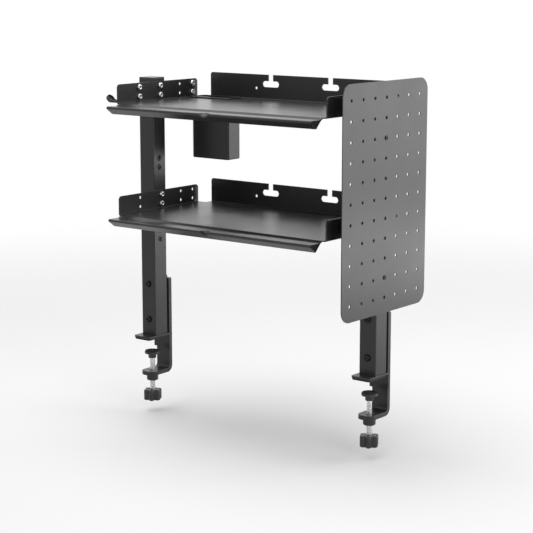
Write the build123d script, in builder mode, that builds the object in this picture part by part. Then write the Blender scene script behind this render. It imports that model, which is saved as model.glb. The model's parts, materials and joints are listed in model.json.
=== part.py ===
from build123d import *
import math
import os

# Clamp-on desk shelf: two bent-steel trays bolted between two square posts, a pegboard on
# the right post, two headphone hooks on the left, and a screw clamp at the foot of each post.
# Millimetres. X runs to the right, Y to the back, Z up. The origin lies on the desk top,
# midway between the posts and on their centre plane.

# Fasteners and fits
fit_gap = 0.1               # between fixed pieces, one inside the other
running_gap = 0.08          # radial, around a turning shaft
bolt_radius = 3.0
bolt_clearance = 0.4        # radial, in sheet metal
bolt_head_radius = 6.5
bolt_head_height = 5.0
bolt_head_edge = 2.2        # rounding of the head's rim
screw_head_radius = 4.6
screw_head_height = 1.8
nut_radius = 5.8
nut_height = 5.0
insert_flange = 1.0         # proud collar of a threaded insert
insert_collar = 2.1         # collar's width beyond the insert's body
insert_wall = 1.3
insert_length = 10.0

# Posts
post_size = 40.0
post_wall = 2.0
post_corner = 2.5
post_head = 25.0            # tube above the top pair of inserts
cap_thickness = 3.0
cap_plug = 10.0
cap_edge = 1.0

# Pairs of inserts up the inner side of each post
first_pair = 235.0          # middle of the lowest pair above the desk
pair_pitch = 80.0
pair_count = 3              # evenly pitched pairs below the top one
top_pair_gap = 159.0        # from the last of those to the top pair
pair_spacing = 20.0
tray_pairs = (1, 3)         # pairs that carry the lower and the upper tray, counted from below

# Trays
tray_width = 550.0
sheet = 2.5
bend_radius = 4.0           # outside of each bend
wall_height = 39.5          # side wall above the floor
wall_front = 134.0          # wall's ends before and behind the posts' centre plane
wall_rear = 126.0
wall_corner = 8.0
pair_above_floor = 20.0
side_column = 67.0          # hole columns before and behind the post
rear_column = 107.0
back_wall_end_gap = 25.0    # from the tray's side to the back wall's end
back_wall_height = 53.0
back_wall_setback = 146.0   # its inner face behind the posts' centre plane
back_wall_corner = 6.0
slot_spacing = 160.0
slot_neck = 13.0
slot_cross_length = 45.0
slot_cross_width = 13.0
slot_depth = 14.0           # from the top edge to the cross slot
small_hole_radius = 3.2
small_hole_spacing = 240.0
small_hole_drop = 30.0      # below the back wall's top edge
lip_end_gap = 8.5           # from the tray's side to the lip's end
lip_start = 137.0           # crease before the posts' centre plane
lip_step_run = 8.0
lip_step_drop = 4.0
lip_strip = 37.0            # flat strip from the step to the nose's sharp corner
lip_return_run = 24.0
lip_return_drop = 17.0
nose_radius = 3.0
gusset = 2.0
scoop_width = 25.0
scoop_depth = 6.5
floor_overlap = 20.0        # lip and back wall run this far into the floor

# Pen box, hung by its rim in the upper tray's floor
box_width = 103.0
box_depth = 44.5
box_drop = 132.5
box_wall = 1.5
box_corner = 6.0
box_rim_width = 4.0
box_rim_height = 3.5
box_side_gap = 26.0         # from the tray's left side
box_back_gap = 23.0         # from the back wall
box_clearance = 1.0

# Headphone hooks on the left wall
hook_width = 20.0
hook_sheet = 2.5
hook_edge = 2.0             # width and height of the turned-up edges
hook_rim = 2.5
hook_bend = 8.0
hook_top_margin = 2.0       # tab's end below the wall's top edge
hook_arm_drop = 6.0         # arm's underside below the tray's floor
hook_arm = 72.5             # from the wall to the upturned tip
hook_turn = 14.0            # outer radius where the arm turns up
hook_turn_angle = 50.0
hook_tip = 10.5             # straight, round-ended tip

# Pegboard
board_thickness = 2.0
board_columns = 7
board_rows = 11
board_pitch = 40.0
board_hole_radius = 3.5
board_side_margin = 28.0
board_end_margin = 32.0
board_corner = 26.0
board_shift = 4.0           # board's middle behind the posts' centre plane
board_above_post = 20.0
board_screw_rows = (2, 9)

# Clamps
foot_width = 46.0
foot_plate = 4.0
foot_front = 45.0           # before the posts' centre plane
foot_leg = 28.0             # turned-down leg below the desk top
foot_corner = 5.0
foot_bend = 8.0
foot_pad = 4.0
foot_pad_inset = 1.0
spacer = 7.0
spacer_width = 30.0
spacer_head = 16.0          # above the upper clamp bolt
bar_width = 38.0
bar = 9.0
bar_head = 9.0              # above the upper clamp bolt
bar_bend = 16.0
bar_corner = 3.0
arm_depth = 75.0            # top of the lower arm below the desk top
arm_front = 32.0            # arm's end before the posts' centre plane
arm_corner = 14.0
lower_bolt = 43.0
clamp_bolt_pitch = 80.0
clamp_bolt_radius = 4.0
clamp_bolt_head_radius = 7.5
clamp_bolt_head = 4.4
clamp_bolt_head_edge = 2.6
clamp_bolt_tail = 2.0       # thread beyond the nut
clamp_nut_radius = 7.5
clamp_nut = 6.5
screw_axis = 10.0           # clamp screw before the posts' centre plane
screw_radius = 6.0
spigot_radius = 4.0
spigot_length = 6.5
boss_radius = 13.0
boss_height = 14.0
boss_edge = 1.5
desk_thickness = 30.0       # desk held at rest
thinnest_desk = 10.0
liner_radius = 16.0
liner = 2.0
pad_radius = 17.0
pad_disc = 5.0
hub_radius = 9.0
hub = 10.0
knob_gap = 2.0              # under the boss at the highest setting
knob_core = 15.0
knob_lobe = 5.5
knob_lobes = 6
knob_height = 24.0
knob_grip_depth = 18.0      # screw inside the knob
knob_edge = 2.0

# Places that follow from the sizes above
half_tray = tray_width / 2
back_wall_width = tray_width - 2 * back_wall_end_gap
lip_width = tray_width - 2 * lip_end_gap
post_inner = half_tray + insert_flange
post_middle = post_inner + post_size / 2
post_outer = post_inner + post_size
board_inner = post_outer + insert_flange
post_bottom = foot_pad + foot_plate
pair_heights = [first_pair + pair_pitch * i for i in range(pair_count)]
pair_heights.append(pair_heights[-1] + top_pair_gap)
post_top = pair_heights[-1] + post_head
lower_floor, upper_floor = [pair_heights[i] - pair_above_floor for i in tray_pairs]
bolt_hole_radius = bolt_radius + bolt_clearance
insert_bore = bolt_radius + fit_gap
insert_body = insert_bore + insert_wall
insert_hole = insert_body + fit_gap
clamp_bolt_heights = (lower_bolt, lower_bolt + clamp_bolt_pitch)
clamp_hole_radius = clamp_bolt_radius + bolt_clearance
board_width = board_pitch * (board_columns - 1) + 2 * board_side_margin
board_height = board_pitch * (board_rows - 1) + 2 * board_end_margin
board_top = post_top + board_above_post
board_screw_heights = [board_top - board_end_margin - board_pitch * row for row in board_screw_rows]
box_middle_x = -(half_tray - box_side_gap - box_width / 2)
box_middle_y = back_wall_setback - box_back_gap - box_depth / 2
bar_front = post_size / 2 + spacer
pad_top = -desk_thickness - liner
hub_bottom = pad_top - pad_disc - hub
arm_top = -arm_depth
boss_top = arm_top - bar
boss_bottom = boss_top - boss_height
knob_top = boss_bottom - (desk_thickness - thinnest_desk) - knob_gap
scoop_radius = (scoop_width**2 / 4 + scoop_depth**2) / (2 * scoop_depth)
wall_columns = (-side_column, 0, side_column, rear_column)
sides = {"left": -1, "right": 1}

os.makedirs("parts", exist_ok=True)


def save(piece, name):
    """Label one sub-part and write it as a STEP file."""
    piece.part.label = name
    export_step(piece.part, f"parts/{name}.step")


def save_copies(piece, planes, name):
    """Write one sub-part that holds a copy of a fastener on each plane."""
    with BuildPart() as copies:
        with Locations(*planes):
            add(piece)
    save(copies, name)


def facing_x(x, y, z, direction):
    """A plane at a point, facing along X."""
    return Plane(origin=(x, y, z), x_dir=(0, direction, 0), z_dir=(direction, 0, 0))


def facing_y(x, y, z, direction):
    """A plane at a point, facing along Y."""
    return Plane(origin=(x, y, z), x_dir=(-direction, 0, 0), z_dir=(0, direction, 0))


def pair(middle):
    """The two heights of a pair of inserts."""
    return middle - pair_spacing / 2, middle + pair_spacing / 2


# Fasteners, each modelled on the XY plane with its head above


def button_bolt(radius, head_radius, head_height, head_edge, length):
    with BuildPart() as bolt:
        with BuildSketch(Plane.XZ):
            with BuildLine():
                head = FilletPolyline(
                    (0, head_height), (head_radius, head_height), (head_radius, 0), radius=head_edge
                )
                Polyline(head @ 1, (radius, 0), (radius, -length), (0, -length), head @ 0)
            make_face()
        revolve(axis=Axis.Z)
    return bolt.part


def tray_bolt(length):
    return button_bolt(bolt_radius, bolt_head_radius, bolt_head_height, bolt_head_edge, length)


def clamp_bolt(length):
    return button_bolt(
        clamp_bolt_radius, clamp_bolt_head_radius, clamp_bolt_head, clamp_bolt_head_edge, length
    )


def flat_screw(length):
    with BuildPart() as screw:
        Cylinder(screw_head_radius, screw_head_height, align=(Align.CENTER, Align.CENTER, Align.MIN))
        Cylinder(bolt_radius, length, align=(Align.CENTER, Align.CENTER, Align.MAX))
    return screw.part


def threaded_insert():
    with BuildPart() as piece:
        Cylinder(
            insert_body + insert_collar, insert_flange, align=(Align.CENTER, Align.CENTER, Align.MIN)
        )
        Cylinder(insert_body, insert_length, align=(Align.CENTER, Align.CENTER, Align.MAX))
        Hole(insert_bore)
    return piece.part


def hex_nut(radius, height, bore):
    with BuildPart() as nut:
        with BuildSketch():
            RegularPolygon(radius, 6)
            Circle(bore, mode=Mode.SUBTRACT)
        extrude(amount=height)
    return nut.part


# Posts: square tube, drilled for the inserts and the clamp bolts

for name, side in sides.items():
    inner = side * post_inner
    outer = side * post_outer
    with BuildPart() as post:
        with BuildSketch(Plane.XY.offset(post_bottom)):
            with Locations((side * post_middle, 0)):
                RectangleRounded(post_size, post_size, post_corner)
                RectangleRounded(
                    post_size - 2 * post_wall,
                    post_size - 2 * post_wall,
                    post_corner - post_wall,
                    mode=Mode.SUBTRACT,
                )
        extrude(amount=post_top - post_bottom)
        with BuildSketch(facing_x(inner, 0, 0, side)):
            with Locations(*[(0, z) for middle in pair_heights for z in pair(middle)]):
                Circle(insert_hole)
        extrude(amount=post_wall, mode=Mode.SUBTRACT)
        if side > 0:
            with BuildSketch(Plane.YZ.offset(outer)):
                with Locations(*[(board_shift, z) for z in board_screw_heights]):
                    Circle(insert_hole)
            extrude(amount=-post_wall, mode=Mode.SUBTRACT)
        with BuildSketch(Plane.XZ.offset(post_size / 2)):
            with Locations(*[(side * post_middle, z) for z in clamp_bolt_heights]):
                Circle(clamp_hole_radius)
        extrude(amount=-post_size, mode=Mode.SUBTRACT)
    save(post, f"post_{name}")

with BuildPart() as cap:
    with BuildSketch():
        RectangleRounded(post_size, post_size, post_corner)
    extrude(amount=cap_thickness)
    chamfer(cap.edges().group_by(Axis.Z)[-1], cap_edge)
    with BuildSketch():
        plug_size = post_size - 2 * (post_wall + fit_gap)
        RectangleRounded(plug_size, plug_size, post_corner - post_wall)
    extrude(amount=-cap_plug)
save_copies(cap.part, [Plane((side * post_middle, 0, post_top)) for side in sides.values()], "post_caps")

insert_planes = [
    facing_x(side * post_inner, 0, z, -side)
    for side in sides.values()
    for middle in pair_heights
    for z in pair(middle)
]
insert_planes += [facing_x(post_outer, board_shift, z, 1) for z in board_screw_heights]
save_copies(threaded_insert(), insert_planes, "threaded_inserts")


# Trays: one sheet each, bent up at three sides and folded under at the front lip


def lip_corners(floor):
    """The front lip's upper surface from its crease to the edge of the return, in Y and Z."""
    step = Vector(-lip_start - lip_step_run, floor - lip_step_drop)
    nose = step - Vector(lip_strip, 0)
    edge = nose + Vector(lip_return_run, -lip_return_drop)
    return [Vector(-lip_start, floor), step, nose, edge]


def lip_section(floor, x):
    """The lip's outline at one place along X, closed from the return's edge back to the crease."""
    with BuildSketch(Plane.YZ.offset(x)) as section:
        with BuildLine():
            outline = FilletPolyline(*lip_corners(floor), radius=(bend_radius, nose_radius))
            Line(outline @ 1, outline @ 0)
        make_face()
    return section.sketch


def scoop_middle(floor):
    """Middle of the ball that presses the finger scoop down at the nose's rounded tip."""
    _, step, nose, edge = lip_corners(floor)
    half_angle = math.radians((step - nose).get_angle(edge - nose) / 2)
    tip = nose.X + nose_radius / math.tan(half_angle) - nose_radius
    return Vector(0, tip, nose.Y + scoop_radius - scoop_depth)


def make_scoop_shell(floor):
    """The dished sheet under the finger scoop, cut off at the nose's tip and at the lip's strip."""
    middle = scoop_middle(floor)
    with BuildPart() as shell:
        with Locations(middle):
            Sphere(scoop_radius + sheet)
        split(bisect_by=Plane.XZ.offset(-middle.Y), keep=Keep.BOTTOM)
        split(bisect_by=Plane.XY.offset(floor - lip_step_drop), keep=Keep.BOTTOM)
    return shell.part


def make_tray(floor, holds_box):
    top = floor + back_wall_height
    scoop_shell = make_scoop_shell(floor)
    with BuildPart() as tray:
        # Floor and side walls
        with BuildSketch(Plane.XZ.offset(wall_front)):
            with BuildLine():
                FilletPolyline(
                    (-half_tray, floor + wall_height),
                    (-half_tray, floor - sheet),
                    (half_tray, floor - sheet),
                    (half_tray, floor + wall_height),
                    radius=bend_radius,
                )
                offset(amount=sheet, side=Side.LEFT)
            make_face()
        extrude(amount=-wall_front - wall_rear)
        fillet(tray.edges().filter_by(Axis.X).group_by(Axis.Z)[-1], wall_corner)
        # Back wall
        with BuildSketch(Plane.YZ):
            with BuildLine():
                FilletPolyline(
                    (wall_rear - floor_overlap, floor - sheet),
                    (back_wall_setback + sheet, floor - sheet),
                    (back_wall_setback + sheet, top),
                    radius=bend_radius,
                )
                offset(amount=sheet, side=Side.LEFT)
            make_face()
        extrude(amount=back_wall_width / 2, both=True)
        fillet(tray.edges().filter_by(Axis.Y).group_by(Axis.Z)[-1], back_wall_corner)
        # Front lip with its end gussets and finger scoop
        with BuildSketch(Plane.YZ):
            with BuildLine():
                FilletPolyline(
                    (floor_overlap - wall_front, floor),
                    *lip_corners(floor),
                    radius=(bend_radius, bend_radius, nose_radius),
                )
                offset(amount=sheet, side=Side.LEFT)
            make_face()
        extrude(amount=lip_width / 2, both=True)
        for side in sides.values():
            extrude(lip_section(floor, side * lip_width / 2), amount=-side * gusset)
        add(scoop_shell)
        with Locations(scoop_middle(floor)):
            Sphere(scoop_radius, mode=Mode.SUBTRACT)
        # Bolt holes through both side walls
        with BuildSketch(Plane.YZ):
            with Locations(*[(y, z) for y in wall_columns for z in pair(floor + pair_above_floor)]):
                Circle(bolt_hole_radius)
        extrude(amount=half_tray, both=True, mode=Mode.SUBTRACT)
        # T-shaped slots and small holes in the back wall
        with BuildSketch(Plane.XZ.offset(-back_wall_setback)):
            for x in (-slot_spacing / 2, slot_spacing / 2):
                with Locations((x, top)):
                    Rectangle(slot_neck, slot_depth + slot_cross_width / 2, align=(Align.CENTER, Align.MAX))
                with Locations((x, top - slot_depth - slot_cross_width / 2)):
                    SlotOverall(slot_cross_length, slot_cross_width)
            with Locations((0, top - small_hole_drop)):
                with GridLocations(small_hole_spacing, 0, 2, 1):
                    Circle(small_hole_radius)
        extrude(amount=-sheet, mode=Mode.SUBTRACT)
        if holds_box:
            with BuildSketch(Plane.XY.offset(floor)):
                with Locations((box_middle_x, box_middle_y)):
                    RectangleRounded(
                        box_width + 2 * box_clearance,
                        box_depth + 2 * box_clearance,
                        box_corner + box_clearance,
                    )
            extrude(amount=-sheet, mode=Mode.SUBTRACT)
    return tray


save(make_tray(lower_floor, False), "tray_lower")
save(make_tray(upper_floor, True), "tray_upper")

tray_bolt_planes = [
    facing_x(side * (half_tray - sheet), 0, z, -side)
    for side in sides.values()
    for floor in (lower_floor, upper_floor)
    for z in pair(floor + pair_above_floor)
]
save_copies(tray_bolt(sheet + insert_flange + insert_length), tray_bolt_planes, "tray_bolts")

# Pen box

with BuildPart() as pen_box:
    with BuildSketch(Plane.XY.offset(upper_floor)):
        with Locations((box_middle_x, box_middle_y)):
            RectangleRounded(
                box_width + 2 * box_rim_width, box_depth + 2 * box_rim_width, box_corner + box_rim_width
            )
    extrude(amount=box_rim_height)
    fillet(pen_box.edges().group_by(Axis.Z)[-1], box_rim_height / 2)
    with BuildSketch(Plane.XY.offset(upper_floor)):
        with Locations((box_middle_x, box_middle_y)):
            RectangleRounded(box_width, box_depth, box_corner)
    extrude(amount=-box_drop)
    fillet(pen_box.edges().group_by(Axis.Z)[0], box_wall * 2)
    with BuildSketch(Plane.XY.offset(upper_floor + box_rim_height)):
        with Locations((box_middle_x, box_middle_y)):
            RectangleRounded(box_width - 2 * box_wall, box_depth - 2 * box_wall, box_corner - box_wall)
    extrude(amount=-(box_rim_height + box_drop - box_wall), mode=Mode.SUBTRACT)
save(pen_box, "pen_box")

# Headphone hooks: pressed strips with turned-up edges, each a bolted tab, an arm and an upturned tip

hook_columns = {"front": -side_column, "rear": rear_column}
hook_face = -half_tray
hook_bolt_heights = pair(upper_floor + pair_above_floor)


def hook_strip(y, thickness, inset):
    """A round-ended strip along a hook's path, drawn in from its edges by an inset."""
    arm_bottom = upper_floor - hook_arm_drop
    end_radius = hook_width / 2 - inset
    with BuildPart() as strip:
        with BuildSketch(Plane.XZ.offset(-y)):
            with BuildLine():
                arm = FilletPolyline(
                    (hook_face, upper_floor + wall_height - hook_top_margin),
                    (hook_face, arm_bottom),
                    (hook_face - hook_arm, arm_bottom),
                    radius=hook_bend,
                )
                turn = JernArc(arm @ 1, arm % 1, hook_turn, -hook_turn_angle)
                tip = Line(turn @ 1, turn @ 1 + (turn % 1) * hook_tip)
                offset(amount=thickness, side=Side.RIGHT)
            make_face()
        extrude(amount=end_radius, both=True)
        along = tip % 1
        middle = tip @ 1 - along * (hook_width / 2)
        end_plane = Plane(
            origin=(middle.X, y, middle.Y), x_dir=(along.X, 0, along.Y), z_dir=(along.Y, 0, -along.X)
        )
        with BuildSketch(end_plane):
            Rectangle(hook_width / 2, 2 * end_radius, align=(Align.MIN, Align.CENTER))
            Circle(end_radius, mode=Mode.SUBTRACT)
        extrude(amount=thickness, mode=Mode.SUBTRACT)
    return strip.part


for name, y in hook_columns.items():
    blank = hook_strip(y, hook_sheet + hook_rim, 0)
    channel = hook_strip(y, hook_sheet + hook_rim, hook_edge)
    web = hook_strip(y, hook_sheet, 0)
    with BuildPart() as hook:
        add(blank)
        add(channel, mode=Mode.SUBTRACT)
        add(web)
        with BuildSketch(Plane.YZ.offset(hook_face)):
            with Locations(*[(y, z) for z in hook_bolt_heights]):
                Circle(bolt_hole_radius)
        extrude(amount=-hook_sheet, mode=Mode.SUBTRACT)
    save(hook, f"hook_{name}")

save_copies(
    tray_bolt(sheet + hook_sheet + nut_height),
    [facing_x(sheet - half_tray, y, z, 1) for y in hook_columns.values() for z in hook_bolt_heights],
    "hook_bolts",
)
save_copies(
    hex_nut(nut_radius, nut_height, bolt_radius + fit_gap),
    [facing_x(hook_face - hook_sheet, y, z, -1) for y in hook_columns.values() for z in hook_bolt_heights],
    "hook_nuts",
)

# Pegboard

with BuildPart() as pegboard:
    with BuildSketch(Plane.YZ.offset(board_inner)):
        with Locations((board_shift, board_top - board_height / 2)):
            RectangleRounded(board_width, board_height, board_corner)
            with GridLocations(board_pitch, board_pitch, board_columns, board_rows):
                Circle(board_hole_radius, mode=Mode.SUBTRACT)
        with Locations(*[(board_shift, z) for z in board_screw_heights]):
            Circle(bolt_hole_radius, mode=Mode.SUBTRACT)
    extrude(amount=board_thickness)
save(pegboard, "pegboard")

save_copies(
    flat_screw(board_thickness + insert_flange + insert_length),
    [facing_x(board_inner + board_thickness, board_shift, z, 1) for z in board_screw_heights],
    "pegboard_screws",
)

# Clamps

for name, side in sides.items():
    middle = side * post_middle
    clamp_plane = Plane.YZ.offset(middle)
    clamp_holes = [(middle, z) for z in clamp_bolt_heights]
    screw_place = (middle, -screw_axis)

    with BuildPart() as foot:
        with BuildSketch(clamp_plane):
            with BuildLine():
                FilletPolyline(
                    (-foot_front, post_bottom), (bar_front, post_bottom), (bar_front, -foot_leg), radius=foot_bend
                )
                offset(amount=foot_plate, side=Side.RIGHT)
            make_face()
        extrude(amount=foot_width / 2, both=True)
        fillet(foot.edges().filter_by(Axis.Z).group_by(Axis.Y)[0], foot_corner)
    save(foot, f"foot_{name}")

    with BuildPart() as pad:
        pad_front = -foot_front + foot_pad_inset
        pad_back = bar_front - foot_bend
        with BuildSketch():
            with Locations((middle, (pad_front + pad_back) / 2)):
                RectangleRounded(foot_width - 2 * foot_pad_inset, pad_back - pad_front, foot_corner)
        extrude(amount=foot_pad)
    save(pad, f"foot_pad_{name}")

    with BuildPart() as strip:
        with BuildSketch(Plane.XZ.offset(-post_size / 2)):
            strip_top = clamp_bolt_heights[-1] + spacer_head
            with Locations((middle, post_bottom)):
                Rectangle(spacer_width, strip_top - post_bottom, align=(Align.CENTER, Align.MIN))
            with Locations(*clamp_holes):
                Circle(clamp_hole_radius, mode=Mode.SUBTRACT)
        extrude(amount=-spacer)
    save(strip, f"spacer_{name}")

    with BuildPart() as jaw:
        with BuildSketch(clamp_plane):
            with BuildLine():
                FilletPolyline(
                    (bar_front + bar, clamp_bolt_heights[-1] + bar_head),
                    (bar_front + bar, arm_top - bar),
                    (-arm_front, arm_top - bar),
                    radius=bar_bend,
                )
                offset(amount=bar, side=Side.RIGHT)
            make_face()
        extrude(amount=bar_width / 2, both=True)
        fillet(jaw.edges().filter_by(Axis.Z).group_by(Axis.Y)[0], arm_corner)
        fillet(jaw.edges().filter_by(Axis.Y).group_by(Axis.Z)[-1], bar_corner)
        with BuildSketch(Plane.XZ.offset(-bar_front)):
            with Locations(*clamp_holes):
                Circle(clamp_hole_radius)
        extrude(amount=-bar, mode=Mode.SUBTRACT)
        with BuildSketch(Plane.XY.offset(arm_top)):
            with Locations(screw_place):
                Circle(screw_radius + bolt_clearance)
        extrude(amount=-bar, mode=Mode.SUBTRACT)
    save(jaw, f"jaw_{name}")

    with BuildPart() as boss:
        with BuildSketch(Plane.XY.offset(boss_top)):
            with Locations(screw_place):
                Circle(boss_radius)
                Circle(screw_radius + running_gap, mode=Mode.SUBTRACT)
        extrude(amount=-boss_height)
        chamfer(boss.edges().group_by(Axis.Z)[0].sort_by(SortBy.RADIUS)[-1], boss_edge)
    save(boss, f"jaw_boss_{name}")

    with BuildPart() as liner_disc:
        with BuildSketch(Plane.XY.offset(pad_top)):
            with Locations(screw_place):
                Circle(liner_radius)
        extrude(amount=liner)
    save(liner_disc, f"pad_liner_{name}")

    with BuildPart() as pressure_pad:
        with BuildSketch(Plane.XY.offset(pad_top)):
            with Locations(screw_place):
                Circle(pad_radius)
        extrude(amount=-pad_disc)
        with BuildSketch(Plane.XY.offset(pad_top - pad_disc)):
            with Locations(screw_place):
                Circle(hub_radius)
        extrude(amount=-hub)
        with BuildSketch(Plane.XY.offset(hub_bottom)):
            with Locations(screw_place):
                Circle(spigot_radius + running_gap)
        extrude(amount=spigot_length + fit_gap, mode=Mode.SUBTRACT)
    save(pressure_pad, f"pressure_pad_{name}")

    with BuildPart() as clamp_screw:
        with BuildSketch(Plane.XY.offset(hub_bottom)):
            with Locations(screw_place):
                Circle(screw_radius)
        extrude(amount=knob_top - knob_grip_depth - hub_bottom)
        with BuildSketch(Plane.XY.offset(hub_bottom)):
            with Locations(screw_place):
                Circle(spigot_radius)
        extrude(amount=spigot_length)
    save(clamp_screw, f"clamp_screw_{name}")

    with BuildPart() as knob:
        with BuildSketch(Plane.XY.offset(knob_top)):
            with Locations(screw_place):
                Circle(knob_core)
                with PolarLocations(knob_core, knob_lobes):
                    Circle(knob_lobe)
        extrude(amount=-knob_height)
        chamfer(knob.edges().group_by(Axis.Z)[0] + knob.edges().group_by(Axis.Z)[-1], knob_edge)
        with BuildSketch(Plane.XY.offset(knob_top)):
            with Locations(screw_place):
                Circle(screw_radius + fit_gap)
        extrude(amount=-knob_grip_depth, mode=Mode.SUBTRACT)
    save(knob, f"knob_{name}")

clamp_bolt_places = [(side * post_middle, z) for side in sides.values() for z in clamp_bolt_heights]
save_copies(
    clamp_bolt(post_size + spacer + bar + clamp_nut + clamp_bolt_tail),
    [facing_y(x, -post_size / 2, z, -1) for x, z in clamp_bolt_places],
    "clamp_bolts",
)
save_copies(
    hex_nut(clamp_nut_radius, clamp_nut, clamp_bolt_radius + fit_gap),
    [facing_y(x, bar_front + bar, z, 1) for x, z in clamp_bolt_places],
    "clamp_nuts",
)
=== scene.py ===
import json
import math
from functools import partial

import bmesh
import bpy
from mathutils import Matrix, Vector


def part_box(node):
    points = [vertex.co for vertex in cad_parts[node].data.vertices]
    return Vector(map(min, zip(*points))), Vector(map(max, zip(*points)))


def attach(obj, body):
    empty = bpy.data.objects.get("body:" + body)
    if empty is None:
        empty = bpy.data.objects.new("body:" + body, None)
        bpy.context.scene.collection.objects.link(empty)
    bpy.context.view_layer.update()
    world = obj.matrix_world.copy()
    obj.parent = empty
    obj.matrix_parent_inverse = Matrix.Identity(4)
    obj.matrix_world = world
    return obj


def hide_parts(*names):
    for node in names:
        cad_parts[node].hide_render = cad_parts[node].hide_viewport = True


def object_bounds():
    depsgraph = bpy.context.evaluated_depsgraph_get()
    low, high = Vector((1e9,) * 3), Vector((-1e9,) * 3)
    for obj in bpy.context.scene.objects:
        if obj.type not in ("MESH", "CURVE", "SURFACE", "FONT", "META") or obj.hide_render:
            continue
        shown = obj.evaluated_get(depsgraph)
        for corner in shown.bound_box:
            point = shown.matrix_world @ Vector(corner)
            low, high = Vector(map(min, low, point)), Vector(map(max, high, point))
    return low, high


# Looks of the clamp-on desk shelf: satin black powder coat on the sheets and tubes, bright zinc
# or black oxide on the fasteners, moulded plastic knobs and rubber pads.
# Metres, in the frame of the CAD model.

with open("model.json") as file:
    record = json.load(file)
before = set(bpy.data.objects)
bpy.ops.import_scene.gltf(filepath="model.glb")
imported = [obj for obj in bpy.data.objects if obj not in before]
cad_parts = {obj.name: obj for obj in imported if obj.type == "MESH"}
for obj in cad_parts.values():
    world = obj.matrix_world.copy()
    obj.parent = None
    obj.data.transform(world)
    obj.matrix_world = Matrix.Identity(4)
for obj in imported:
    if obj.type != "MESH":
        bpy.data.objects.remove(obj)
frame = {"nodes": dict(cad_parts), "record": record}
cad_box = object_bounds()
nodes = frame["nodes"]
mm = 0.001

to_left, to_right = (-1, 0, 0), (1, 0, 0)
to_front, to_back = (0, -1, 0), (0, 1, 0)


# Materials


class Shader:
    """A Principled material with texture nodes read in object space, in metres."""

    # Noise lies mostly between these two values
    pattern_low = 0.3
    pattern_high = 0.7

    def __init__(self, name, metallic=0.0, specular=0.5):
        self.material = bpy.data.materials.new(name)
        self.material.use_nodes = True
        self.tree = self.material.node_tree
        self.bsdf = self.tree.nodes["Principled BSDF"]
        self.bsdf.inputs["Metallic"].default_value = metallic
        self.bsdf.inputs["Specular IOR Level"].default_value = specular
        self.place = self.tree.nodes.new("ShaderNodeTexCoord").outputs["Object"]
        self.normal = None

    def node(self, kind, **values):
        """A new node with its sockets or settings filled in by name."""
        made = self.tree.nodes.new(kind)
        for key, value in values.items():
            if key in made.inputs:
                made.inputs[key].default_value = value
            else:
                setattr(made, key, value)
        return made

    def link(self, source, target):
        self.tree.links.new(source, target)

    def noise(self, size, detail):
        """Noise with features of one size in metres, from 0 to 1."""
        noise = self.node("ShaderNodeTexNoise", Scale=1 / size, Detail=detail)
        self.link(self.place, noise.inputs["Vector"])
        return noise.outputs["Fac"]

    def spread(self, value, low, high, start=pattern_low, stop=pattern_high):
        """The part of a pattern between two values, spread over a range of numbers."""
        limits = {"From Min": start, "From Max": stop, "To Min": low, "To Max": high}
        mapped = self.node("ShaderNodeMapRange", **limits)
        self.link(value, mapped.inputs["Value"])
        return mapped.outputs["Result"]

    def shades(self, value, dark, light):
        """The middle of a 0 to 1 pattern, as colours from dark to light."""
        ramp = self.node("ShaderNodeValToRGB")
        first, last = ramp.color_ramp.elements
        first.position = self.pattern_low
        last.position = self.pattern_high
        first.color = (*dark, 1)
        last.color = (*light, 1)
        self.link(value, ramp.inputs["Fac"])
        return ramp.outputs["Color"]

    def tint(self, value, dark, light):
        self.link(self.shades(value, dark, light), self.bsdf.inputs["Base Color"])

    def roughness(self, value, low, high):
        self.link(self.spread(value, low, high), self.bsdf.inputs["Roughness"])

    def bump(self, value, height, strength):
        """Bumps of a height in metres, on top of those that are there already."""
        bump = self.node("ShaderNodeBump", Strength=strength, Distance=height)
        self.link(value, bump.inputs["Height"])
        if self.normal is not None:
            self.link(self.normal, bump.inputs["Normal"])
        self.normal = bump.outputs["Normal"]
        self.link(self.normal, self.bsdf.inputs["Normal"])

    def rounded_normal(self, radius):
        """The normal that a surface would have with its edges rounded to a radius."""
        return self.node("ShaderNodeBevel", Radius=radius, samples=4).outputs["Normal"]

    def soften_edges(self, radius):
        """Round the look of sharp sheet edges."""
        self.normal = self.rounded_normal(radius)
        self.link(self.normal, self.bsdf.inputs["Normal"])

    def edges(self, radius):
        """1 along sharp edges, 0 on flat faces, from how far a rounded normal leans."""
        edge_cosine, flat_cosine = 0.8, 0.99
        lean = self.node("ShaderNodeVectorMath", operation="DOT_PRODUCT")
        self.link(self.rounded_normal(radius), lean.inputs[0])
        self.link(self.node("ShaderNodeNewGeometry").outputs["Normal"], lean.inputs[1])
        return self.spread(lean.outputs["Value"], 1, 0, edge_cosine, flat_cosine)

    def paint_wear_and_highlight(self, mask, coat, wear_and_highlight):
        """Blend a coat into a lighter colour where a mask is 1: edge wear and a painted edge
        highlight.
        """
        mix = self.node("ShaderNodeMix", data_type="RGBA")
        self.link(mask, mix.inputs["Factor"])
        self.link(coat, mix.inputs["A"])
        mix.inputs["B"].default_value = (*wear_and_highlight, 1)
        self.link(mix.outputs["Result"], self.bsdf.inputs["Base Color"])


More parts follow.
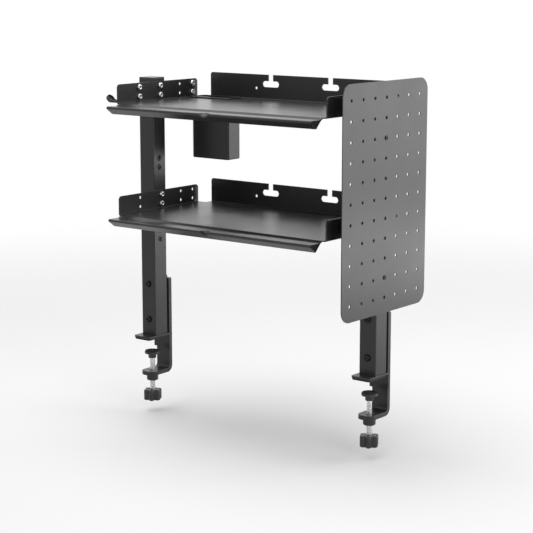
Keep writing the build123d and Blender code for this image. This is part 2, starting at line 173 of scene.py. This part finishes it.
def powder_coat():
    """Satin black powder coat: fine grain, faint clouds in its gloss, edges painted lighter as wear
    and as a painted highlight.
    """
    shader = Shader("powder_coat", specular=0.3)
    shader.soften_edges(0.8 * mm)
    cloud = shader.noise(size=70 * mm, detail=2)
    ripple = shader.noise(size=2.2 * mm, detail=2)
    grain = shader.noise(size=0.9 * mm, detail=3)
    coat = shader.shades(grain, dark=(0.023, 0.022, 0.0215), light=(0.033, 0.032, 0.031))
    # Edges painted lighter: partly wear, partly a painted highlight along the sheet edges.
    shader.paint_wear_and_highlight(shader.edges(0.9 * mm), coat, wear_and_highlight=(0.12, 0.117, 0.113))
    shader.roughness(cloud, low=0.28, high=0.33)
    shader.bump(ripple, height=0.04 * mm, strength=0.5)
    shader.bump(grain, height=0.025 * mm, strength=0.7)
    return shader.material


def zinc_plate():
    """Bright zinc on the tray bolts, hook bolts and nuts and clamp screws, clouded by handling."""
    shader = Shader("zinc_plate", metallic=1.0)
    cloud = shader.noise(size=4 * mm, detail=4)
    grain = shader.noise(size=0.5 * mm, detail=2)
    shader.tint(cloud, dark=(0.52, 0.52, 0.53), light=(0.68, 0.68, 0.67))
    shader.roughness(cloud, low=0.2, high=0.34)
    shader.bump(grain, height=0.02 * mm, strength=0.4)
    return shader.material


def black_oxide():
    """Blackened steel of the inserts, board screws, clamp bolts and nuts, lighter at edges as rubbed
    wear and as a painted highlight.
    """
    shader = Shader("black_oxide", metallic=1.0)
    cloud = shader.noise(size=5 * mm, detail=3)
    grain = shader.noise(size=0.6 * mm, detail=2)
    oxide = shader.shades(cloud, dark=(0.014, 0.014, 0.0145), light=(0.028, 0.0275, 0.027))
    # Edges painted lighter: partly rubbed wear, partly a painted highlight round bolt heads and insert
    # collars.
    shader.paint_wear_and_highlight(shader.edges(0.8 * mm), oxide, wear_and_highlight=(0.2, 0.198, 0.195))
    shader.roughness(cloud, low=0.24, high=0.36)
    shader.bump(grain, height=0.02 * mm, strength=0.4)
    return shader.material


def moulded_plastic():
    """Black polymer with a spark-eroded mould texture."""
    shader = Shader("moulded_plastic", specular=0.4)
    shader.soften_edges(0.4 * mm)
    cloud = shader.noise(size=25 * mm, detail=2)
    grain = shader.noise(size=0.7 * mm, detail=4)
    shader.tint(cloud, dark=(0.020, 0.020, 0.021), light=(0.028, 0.028, 0.028))
    shader.roughness(grain, low=0.3, high=0.42)
    shader.bump(grain, height=0.04 * mm, strength=0.5)
    return shader.material


def rubber():
    """Dull black rubber with dusty patches."""
    shader = Shader("rubber", specular=0.25)
    dust = shader.noise(size=9 * mm, detail=5)
    grain = shader.noise(size=1.1 * mm, detail=4)
    shader.tint(dust, dark=(0.016, 0.016, 0.016), light=(0.030, 0.029, 0.028))
    shader.roughness(dust, low=0.72, high=0.9)
    shader.bump(grain, height=0.1 * mm, strength=0.5)
    return shader.material


looks = {
    "coated_steel": powder_coat(),
    "plated_steel": zinc_plate(),
    "dark_steel": black_oxide(),
    "black_plastic": moulded_plastic(),
    "rubber": rubber(),
}


def dress(obj, slot):
    obj.data.materials.clear()
    obj.data.materials.append(looks[slot])


slots = {part["node"]: part["material_slot"] for part in frame["record"]["subparts"]}
for node, slot in slots.items():
    dress(nodes[node], slot)


# Places of the solids


def box_of(points):
    """The lowest and the highest corner round a list of points."""
    columns = list(zip(*points))
    return Vector(map(min, columns)), Vector(map(max, columns))


def solids_of(node):
    """The box of each separate solid in a node."""
    mesh = bmesh.new()
    mesh.from_mesh(nodes[node].data)
    bmesh.ops.remove_doubles(mesh, verts=mesh.verts, dist=0.001 * mm)
    unvisited = set(mesh.verts)
    boxes = []
    while unvisited:
        waiting = [unvisited.pop()]
        corners = []
        while waiting:
            vert = waiting.pop()
            corners.append(vert.co.copy())
            near = {edge.other_vert(vert) for edge in vert.link_edges} & unvisited
            unvisited -= near
            waiting.extend(near)
        boxes.append(box_of(corners))
    mesh.free()
    return sorted(boxes, key=lambda box: tuple(box[0]))


def middle_of(box):
    return (box[0] + box[1]) / 2


def length_of(box, direction):
    """Length of a box along a direction on one axis."""
    return abs((box[1] - box[0]).dot(Vector(direction)))


def facing(box, direction):
    """Local Z = 0 on the end of a box, pointing out of it along a direction."""
    way = Vector(direction)
    end = middle_of(box) + way * length_of(box, direction) / 2
    return Matrix.Translation(end) @ way.to_track_quat("Z", "Y").to_matrix().to_4x4()


def upright(box):
    """Local Z up through the middle of a box, with heights as they are in the frame."""
    middle = middle_of(box)
    return Matrix.Translation((middle.x, middle.y, 0))


def inwards(box):
    """The way along X from a solid to the middle of the shelf."""
    return to_right if middle_of(box).x < 0 else to_left


def out_of_post(box):
    """The way along X out of the post's face that a solid is set in."""
    place = middle_of(box).x
    post = middle_of(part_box("post_left" if place < 0 else "post_right"))
    return to_left if place < post.x else to_right


# Turned, moulded and threaded forms, built around local Z


def polar(radius, angle, height):
    return Vector((radius * math.cos(angle), radius * math.sin(angle), height))


def value_at(size, angle):
    """A size that is the same all round, or a function of the angle."""
    return size(angle) if callable(size) else size


def add_rings(mesh, rings, placing, count=48, hollow=False):
    """Skin rings of radius and height, closed at both ends or, if hollow, from last to first."""
    loops = []
    for radius, height in rings:
        loop = []
        for i in range(count):
            angle = 2 * math.pi * i / count
            point = polar(value_at(radius, angle), angle, value_at(height, angle))
            loop.append(mesh.verts.new(placing @ point))
        loops.append(loop)
    joined = list(zip(loops, loops[1:]))
    if hollow:
        joined.append((loops[-1], loops[0]))
    for low, high in joined:
        for i in range(count):
            j = (i + 1) % count
            mesh.faces.new((low[i], low[j], high[j], high[i]))
    if not hollow:
        mesh.faces.new(reversed(loops[0]))
        mesh.faces.new(loops[-1])


def inset(radius, amount):
    """A radius drawn in by an amount all round."""
    return lambda angle: value_at(radius, angle) - amount


def rounded_edge(radius, height, edge, up=True, steps=5):
    """Rings round an outer edge: from the side up to a top face, or up from a bottom face."""
    rings = []
    for i in range(steps + 1):
        turn = math.pi / 2 * i / steps
        sine, cosine = math.sin(turn), math.cos(turn)
        if up:
            rings.append((inset(radius, edge - edge * cosine), height - edge + edge * sine))
        else:
            rings.append((inset(radius, edge - edge * sine), height + edge - edge * cosine))
    return rings


def hexagon(corner):
    """Radius of a hexagon by angle, with one corner on local X."""
    def radius(angle):
        sector = (angle + math.pi / 6) % (math.pi / 3) - math.pi / 6
        return corner * math.cos(math.pi / 6) / math.cos(math.pi / 6 - abs(sector))
    return radius


def rounded_square(half, corner):
    """Radius of a rounded square by angle."""
    def radius(angle):
        fold = (angle + math.pi / 4) % (math.pi / 2) - math.pi / 4
        along, across = math.cos(fold), abs(math.sin(fold))
        straight = half - corner
        if half * across <= straight * along:
            return half / along
        reach = straight * (along + across)
        return reach + math.sqrt(reach**2 - 2 * straight**2 + corner**2)
    return radius


def star(core, lobe, lobes, blend):
    """Radius of a round core with round lobes by angle, their corners blended."""
    def radius(angle):
        half = math.pi / lobes
        sector = (angle + half) % (2 * half) - half
        off = core * math.sin(sector)
        out = core * math.cos(sector) + math.sqrt(lobe**2 - off**2) if abs(off) < lobe else 0
        near = max(blend - abs(out - core), 0) / blend
        return max(out, core) + near**2 * blend / 4
    return radius


def add_thread(mesh, root, crest, pitch, low, high, placing, steps):
    """A right-hand helical ridge with tapered ends, sunk a little into its core."""
    half_foot, half_crown, sink = 0.42 * pitch, 0.14 * pitch, 0.15 * pitch
    taper = steps / 2
    total = round((high - low) / pitch * steps)
    sections = []
    for i in range(total + 1):
        angle = 2 * math.pi * i / steps
        middle = low + pitch * i / steps
        rise = min(1, i / taper, (total - i) / taper)
        foot = root - sink
        top = root + (crest - root) * rise
        outline = ((foot, -half_foot), (top, -half_crown), (top, half_crown), (foot, half_foot))
        points = [polar(radius, angle, middle + along) for radius, along in outline]
        sections.append([mesh.verts.new(placing @ point) for point in points])
    for start, end in zip(sections, sections[1:]):
        for i in range(len(start)):
            j = (i + 1) % len(start)
            mesh.faces.new((start[i], end[i], end[j], start[j]))
    mesh.faces.new(sections[0])
    mesh.faces.new(reversed(sections[-1]))


# Fasteners


def add_button_bolt(mesh, box, direction, radius, height, edge, socket, tail=0):
    """A button bolt with a hexagon socket, and a threaded tail where one is given."""
    thread_depth = 0.7 * mm
    thread_pitch = 1.25 * mm
    thread_start = 1 * mm
    end_chamfer = 0.6 * mm
    rim_chamfer = 0.3 * mm
    socket_chamfer = 0.4 * mm
    socket_mouth = 1.2 * socket
    socket_depth = 0.55 * height
    placing = facing(box, direction)
    head = (box[1].z - box[0].z) / 2
    end = -length_of(box, direction)
    core = radius - thread_depth if tail else radius
    rings = [(core - end_chamfer, end), (core, end + end_chamfer)]
    if tail:
        rings += [(core, end + tail), (radius, end + tail + thread_depth)]
        add_thread(mesh, core, radius, thread_pitch, end + thread_start, end + tail, placing, steps=20)
    rings += [(radius, -height), (head - rim_chamfer, -height), (head, rim_chamfer - height)]
    rings += rounded_edge(head, 0, edge)
    rings += [(socket_mouth, 0), (hexagon(socket), -socket_chamfer), (hexagon(socket), -socket_depth)]
    add_rings(mesh, rings, placing)


def add_tray_bolt(mesh, box):
    """A button bolt of the trays and hooks."""
    direction = inwards(box)
    add_button_bolt(mesh, box, direction, radius=3 * mm, height=5 * mm, edge=2.2 * mm, socket=2.6 * mm)


def add_clamp_bolt(mesh, box):
    """A long button bolt from a post's front through the clamp's bar."""
    head = {"height": 4.4 * mm, "edge": 2.6 * mm, "socket": 3.4 * mm}
    add_button_bolt(mesh, box, to_front, radius=4 * mm, tail=10 * mm, **head)


def add_nut(mesh, box, direction, corner, bore):
    """A hexagon nut with chamfered faces and a chamfered bore."""
    bore_chamfer = 0.5 * mm
    face_inset = 0.2 * mm
    face_drop = 0.15 * mm
    side = hexagon(corner)
    flat = corner * math.cos(math.pi / 6)
    face = flat - face_inset
    mouth = bore + bore_chamfer
    end = -length_of(box, direction)

    def fall(angle):
        return (side(angle) - flat) * math.tan(math.pi / 6) + face_drop

    rings = [(bore, end + bore_chamfer), (mouth, end), (face, end)]
    rings += [(side, lambda angle: end + fall(angle)), (side, lambda angle: -fall(angle))]
    rings += [(face, 0), (mouth, 0), (bore, -bore_chamfer)]
    add_rings(mesh, rings, facing(box, direction), hollow=True)


def add_insert(mesh, box):
    """A threaded insert with a rounded collar and grooves down its chamfered bore."""
    body = 4.4 * mm
    bore = 3.1 * mm
    bore_chamfer = 0.6 * mm
    collar = 6.5 * mm
    collar_height = 1 * mm
    collar_edge = 0.6 * mm
    grooves = 6
    groove_start = 0.8 * mm
    groove_pitch = 1 * mm
    groove_depth = 0.3 * mm
    direction = out_of_post(box)
    end = -length_of(box, direction)
    rings = [(bore, end), (body, end), (body, -collar_height), (collar, -collar_height)]
    rings += rounded_edge(collar, 0, collar_edge, steps=3)
    rings += [(bore + bore_chamfer, 0), (bore, -bore_chamfer)]
    for i in range(grooves):
        groove = -groove_start - i * groove_pitch
        rings += [(bore + groove_depth, groove), (bore, groove - groove_pitch / 2)]
    add_rings(mesh, rings, facing(box, direction), hollow=True)


def add_board_screw(mesh, box):
    """A low-headed socket screw of the pegboard."""
    radius = 3 * mm
    end_chamfer = 0.6 * mm
    head = 4.6 * mm
    head_height = 1.8 * mm
    head_edge = 0.8 * mm
    socket = hexagon(2 * mm)
    socket_mouth = 2.4 * mm
    socket_chamfer = 0.3 * mm
    socket_depth = 1.4 * mm
    end = -length_of(box, to_right)
    rings = [(radius - end_chamfer, end), (radius, end + end_chamfer)]
    rings += [(radius, -head_height), (head, -head_height)]
    rings += rounded_edge(head, 0, head_edge, steps=4)
    rings += [(socket_mouth, 0), (socket, -socket_chamfer), (socket, -socket_depth)]
    add_rings(mesh, rings, facing(box, to_right))


# Caps, clamp screws, knobs and pads


def add_cap(mesh, box):
    """A post's plug-in cap with a rounded rim and a slightly crowned top."""
    corner = 2.5 * mm
    lid_height = 3 * mm
    lid_edge = 1.2 * mm
    crown_height = 0.3 * mm
    crown_inset = 8 * mm
    plug_inset = 2.1 * mm
    plug_corner = 0.5 * mm
    plug_chamfer = 1 * mm
    low, high = box[0].z, box[1].z
    half = (box[1].x - box[0].x) / 2
    outline = rounded_square(half, corner)
    plug = rounded_square(half - plug_inset, plug_corner)
    lid = high - lid_height
    rings = [(inset(plug, plug_chamfer), low), (plug, low + plug_chamfer), (plug, lid), (outline, lid)]
    rings += rounded_edge(outline, high - crown_height, lid_edge)
    rings += [(inset(outline, crown_inset), high)]
    add_rings(mesh, rings, upright(box), count=192)


def add_clamp_screw(mesh, box, shoulder):
    """A clamp screw: coarse right-hand thread, plain neck and the spigot that turns in the pad."""
    lead = 3 * mm
    core = 5.2 * mm
    crest = 6 * mm
    neck_height = 3 * mm
    neck_taper = 1 * mm
    neck_chamfer = 0.4 * mm
    spigot = 4 * mm
    spigot_chamfer = 0.5 * mm
    thread_start = 4 * mm
    thread_gap = 1.5 * mm
    low, high = box[0].z, box[1].z
    neck = shoulder - neck_height
    placing = upright(box)
    rings = [(core, low), (core, neck - neck_taper), (crest, neck)]
    rings += [(crest, shoulder - neck_chamfer), (crest - neck_chamfer, shoulder)]
    rings += [(spigot, shoulder), (spigot, high - spigot_chamfer), (spigot - spigot_chamfer, high)]
    add_rings(mesh, rings, placing)
    add_thread(mesh, core, crest, lead, low + thread_start, neck - thread_gap, placing, steps=36)


def add_knob(mesh, box):
    """A six-lobed star knob, dished below and recessed round the screw above."""
    outline = star(core=15 * mm, lobe=5.5 * mm, lobes=6, blend=3 * mm)
    low_edge = 3 * mm
    high_edge = 2.5 * mm
    # Radius and depth of each ring
    dish = ((8.4 * mm, 1.2 * mm), (9.4 * mm, 0.2 * mm), (10 * mm, 0))
    recess = ((10.6 * mm, 0), (10 * mm, 1 * mm), (6 * mm, 1 * mm))
    low, high = box[0].z, box[1].z
    rings = [(radius, low + depth) for radius, depth in dish]
    rings += rounded_edge(outline, low, low_edge, up=False)
    rings += rounded_edge(outline, high, high_edge)
    rings += [(radius, high - depth) for radius, depth in recess]
    add_rings(mesh, rings, upright(box), count=120)


def add_pad(mesh, box):
    """A swivelling pressure pad: rounded disc on a hub bored for the screw's spigot."""
    bore = 4.08 * mm
    bore_depth = 6.6 * mm
    bore_chamfer = 0.4 * mm
    hub = 9 * mm
    hub_edge = 0.8 * mm
    # Steps out from the hub and down from the disc
    hub_fillet = ((0, 2.5 * mm), (0.7 * mm, 0.8 * mm), (2.5 * mm, 0))
    disc = 17 * mm
    disc_height = 5 * mm
    disc_low_edge = 1.2 * mm
    disc_high_edge = 0.8 * mm
    low, high = box[0].z, box[1].z
    plate = high - disc_height
    rings = [(bore, low + bore_depth), (bore, low + bore_chamfer), (bore + bore_chamfer, low)]
    rings += rounded_edge(hub, low, hub_edge, up=False, steps=3)
    rings += [(hub + out, plate - down) for out, down in hub_fillet]
    rings += rounded_edge(disc, plate, disc_low_edge, up=False, steps=4)
    rings += rounded_edge(disc, high, disc_high_edge, steps=3)
    add_rings(mesh, rings, upright(box), count=64)


def add_liner(mesh, box):
    """A round rubber liner with ring grooves in its top."""
    low_chamfer = 0.4 * mm
    high_edge = 0.6 * mm
    grooves = (13 * mm, 10 * mm, 7 * mm, 4 * mm)
    groove_depth = 0.7 * mm
    half_mouth = 0.9 * mm
    half_bottom = 0.4 * mm
    low, high = box[0].z, box[1].z
    radius = (box[1].x - box[0].x) / 2
    bottom = high - groove_depth
    rings = [(radius - low_chamfer, low), (radius, low + low_chamfer)]
    rings += rounded_edge(radius, high, high_edge, steps=3)
    for groove in grooves:
        rings += [(groove + half_mouth, high), (groove + half_bottom, bottom)]
        rings += [(groove - half_bottom, bottom), (groove - half_mouth, high)]
    add_rings(mesh, rings, upright(box), count=64)


def make_piece(node, add, body="frame"):
    """A detailed mesh in place of one CAD node, with a form added in the box of each of its solids."""
    sharp_angle = math.radians(35)
    mesh = bmesh.new()
    for box in solids_of(node):
        add(mesh, box)
    bmesh.ops.recalc_face_normals(mesh, faces=mesh.faces)
    data = bpy.data.meshes.new(f"{node}_detailed")
    mesh.to_mesh(data)
    mesh.free()
    data.shade_smooth()
    data.set_sharp_from_angle(angle=sharp_angle)
    piece = bpy.data.objects.new(f"{node}_detailed", data)
    bpy.context.scene.collection.objects.link(piece)
    dress(piece, slots[node])
    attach(piece, body)
    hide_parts(node)


make_piece("tray_bolts", add_tray_bolt)
make_piece("hook_bolts", add_tray_bolt)
make_piece("hook_nuts", partial(add_nut, direction=to_left, corner=5.8 * mm, bore=3.1 * mm))
make_piece("threaded_inserts", add_insert)
make_piece("pegboard_screws", add_board_screw)
make_piece("clamp_bolts", add_clamp_bolt)
make_piece("clamp_nuts", partial(add_nut, direction=to_back, corner=7.5 * mm, bore=4.1 * mm))
make_piece("post_caps", add_cap)
for side in ("left", "right"):
    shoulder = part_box(f"pressure_pad_{side}")[0][2]
    make_piece(f"clamp_screw_{side}", partial(add_clamp_screw, shoulder=shoulder), f"{side}_screw")
    make_piece(f"knob_{side}", add_knob, f"{side}_screw")
    make_piece(f"pressure_pad_{side}", add_pad, f"{side}_pad")
    make_piece(f"pad_liner_{side}", add_liner, f"{side}_pad")


# Floor, light and camera


def any_ray(tree, *kinds):
    """1 for rays of any of these kinds, and 0 for the rest."""
    rays = tree.nodes.new("ShaderNodeLightPath")
    found = rays.outputs[kinds[0]]
    for kind in kinds[1:]:
        either = tree.nodes.new("ShaderNodeMath")
        either.operation = "MAXIMUM"
        tree.links.new(found, either.inputs[0])
        tree.links.new(rays.outputs[kind], either.inputs[1])
        found = either.outputs[0]
    return found


def floor_paper():
    """Pale paper that glows a little where it is seen or mirrored, and fades out with distance."""
    colour = (0.78, 0.78, 0.78, 1)
    glow_strength = 0.2
    fade_start, fade_stop = 0.9, 3.0
    material = bpy.data.materials.new("floor")
    material.use_nodes = True
    tree = material.node_tree
    tree.nodes.clear()
    make, link = tree.nodes.new, tree.links.new
    paper = make("ShaderNodeBsdfDiffuse")
    paper.inputs["Color"].default_value = colour
    lift = make("ShaderNodeMath")
    lift.operation = "MULTIPLY"
    lift.inputs[1].default_value = glow_strength
    link(any_ray(tree, "Is Camera Ray", "Is Glossy Ray"), lift.inputs[0])
    glow = make("ShaderNodeEmission")
    link(lift.outputs[0], glow.inputs["Strength"])
    lit = make("ShaderNodeAddShader")
    link(paper.outputs[0], lit.inputs[0])
    link(glow.outputs[0], lit.inputs[1])
    distance = make("ShaderNodeVectorMath")
    distance.operation = "LENGTH"
    link(make("ShaderNodeTexCoord").outputs["Object"], distance.inputs[0])
    fade = make("ShaderNodeMapRange")
    fade.interpolation_type = "SMOOTHSTEP"
    fade.inputs["From Min"].default_value = fade_start
    fade.inputs["From Max"].default_value = fade_stop
    link(distance.outputs["Value"], fade.inputs["Value"])
    mixed = make("ShaderNodeMixShader")
    link(fade.outputs["Result"], mixed.inputs["Fac"])
    link(lit.outputs[0], mixed.inputs[1])
    link(make("ShaderNodeBsdfTransparent").outputs[0], mixed.inputs[2])
    link(mixed.outputs[0], make("ShaderNodeOutputMaterial").inputs["Surface"])
    return material


def add_floor():
    """A round floor just below the knobs at their lowest setting."""
    radius = 9
    gap = 1 * mm
    joints = frame["record"]["behaviour"]["joints"]
    travel = min(joint["range_m"][0] for joint in joints if joint["type"] == "slide")
    place = (0, 0, cad_box[0][2] + travel - gap)
    bpy.ops.mesh.primitive_circle_add(vertices=96, radius=radius, fill_type="NGON", location=place)
    floor = bpy.context.object
    floor.name = "floor"
    floor.data.materials.append(floor_paper())


def add_world(ambient):
    """A white background that lights the object with a dimmer, even light."""
    world = bpy.data.worlds.new("studio")
    bpy.context.scene.world = world
    world.use_nodes = True
    tree = world.node_tree
    tree.nodes.clear()
    make, link = tree.nodes.new, tree.links.new
    dim = make("ShaderNodeBackground")
    dim.inputs["Strength"].default_value = ambient
    white = make("ShaderNodeBackground")
    white.inputs["Color"].default_value = (1, 1, 1, 1)
    white.inputs["Strength"].default_value = 1.0
    mixed = make("ShaderNodeMixShader")
    link(any_ray(tree, "Is Camera Ray", "Is Glossy Ray", "Is Transmission Ray"), mixed.inputs["Fac"])
    link(dim.outputs[0], mixed.inputs[1])
    link(white.outputs[0], mixed.inputs[2])
    link(mixed.outputs[0], make("ShaderNodeOutputWorld").inputs["Surface"])


def add_softbox(name, place, target, size, power):
    """A rectangular area light turned to a target, which the camera doesn't see."""
    data = bpy.data.lights.new(name, "AREA")
    data.shape = "RECTANGLE"
    data.size, data.size_y = size
    data.energy = power
    lamp = bpy.data.objects.new(name, data)
    lamp.location = place
    lamp.rotation_euler = (Vector(target) - Vector(place)).to_track_quat("-Z", "Y").to_euler()
    lamp.visible_camera = False
    bpy.context.scene.collection.objects.link(lamp)


def add_camera():
    """The photo's viewpoint: to the front right of the shelf and a little above it."""
    place = Vector((2.0767, -2.6269, 0.8162))
    right = Vector((0.78776, 0.61598, 0))
    back = Vector((0.60560, -0.77449, 0.18278)).normalized()
    data = bpy.data.cameras.new("camera")
    data.sensor_width = 36
    data.lens = 108.55
    camera = bpy.data.objects.new("camera", data)
    turn = Matrix((right, back.cross(right), back)).transposed()
    camera.matrix_world = Matrix.Translation(place) @ turn.to_4x4()
    bpy.context.scene.collection.objects.link(camera)
    bpy.context.scene.camera = camera


add_floor()
add_world(ambient=0.35)
# Mirrored in the right faces of the pegboard and posts, the second one in their lower part
add_softbox("side_box", place=(2.6, 2.4, 0.88), target=(0.2, 0.0, 0.75), size=(2.6, 1.9), power=56)
add_softbox("low_box", place=(1.25, 1.2, -0.02), target=(0.3, 0.0, 0.15), size=(1.6, 0.2), power=4.2)
# Lights the top faces and the floor
add_softbox("top_box", place=(-0.3, -0.2, 2.8), target=(0, 0, 0.4), size=(2.2, 2.2), power=55)
# Mirrored in the trays' floors
add_softbox("back_box", place=(-2.2, 1.8, 1.8), target=(0, 0, 0.45), size=(1.8, 1.4), power=9)
# Lights the front faces and draws out the posts' near edges
add_softbox("front_box", place=(2.9, -1.3, 0.75), target=(0, 0, 0.5), size=(1.4, 1.6), power=30)
add_camera()
bpy.context.scene.view_settings.view_transform = "Standard"
